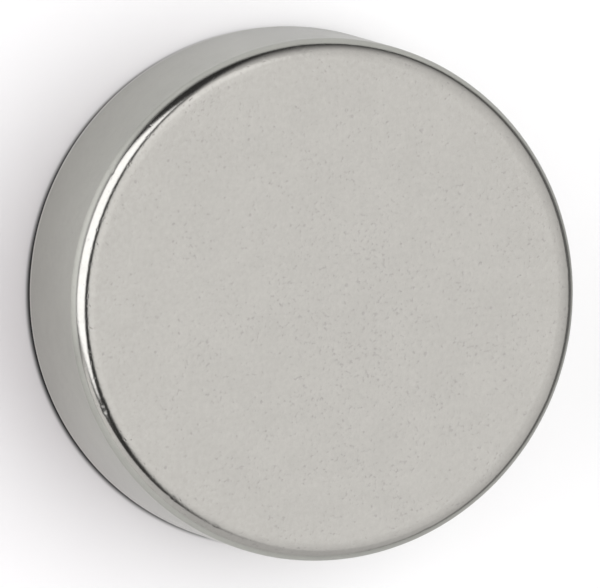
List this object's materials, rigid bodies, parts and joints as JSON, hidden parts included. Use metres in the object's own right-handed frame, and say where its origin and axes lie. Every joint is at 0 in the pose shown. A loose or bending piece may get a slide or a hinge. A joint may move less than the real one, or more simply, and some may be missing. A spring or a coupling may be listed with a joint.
{
  "type": "disc magnet",
  "caption": "Solid round nickel-plated disc magnet with rounded rims, lying on one flat face.",
  "frame": {"origin": "centre of the lower flat face", "axes": "+Z along the disc's axis, up from the lower face to the upper face; the disc is round, so X and Y are free"},
  "size_m": [0.015, 0.015, 0.005],
  "materials": {
    "nickel_plating": "bright nickel plating, slightly pitted"
  },
  "bodies": {
    "root": {"magnet": "nickel_plating"}
  },
  "joints": []
}
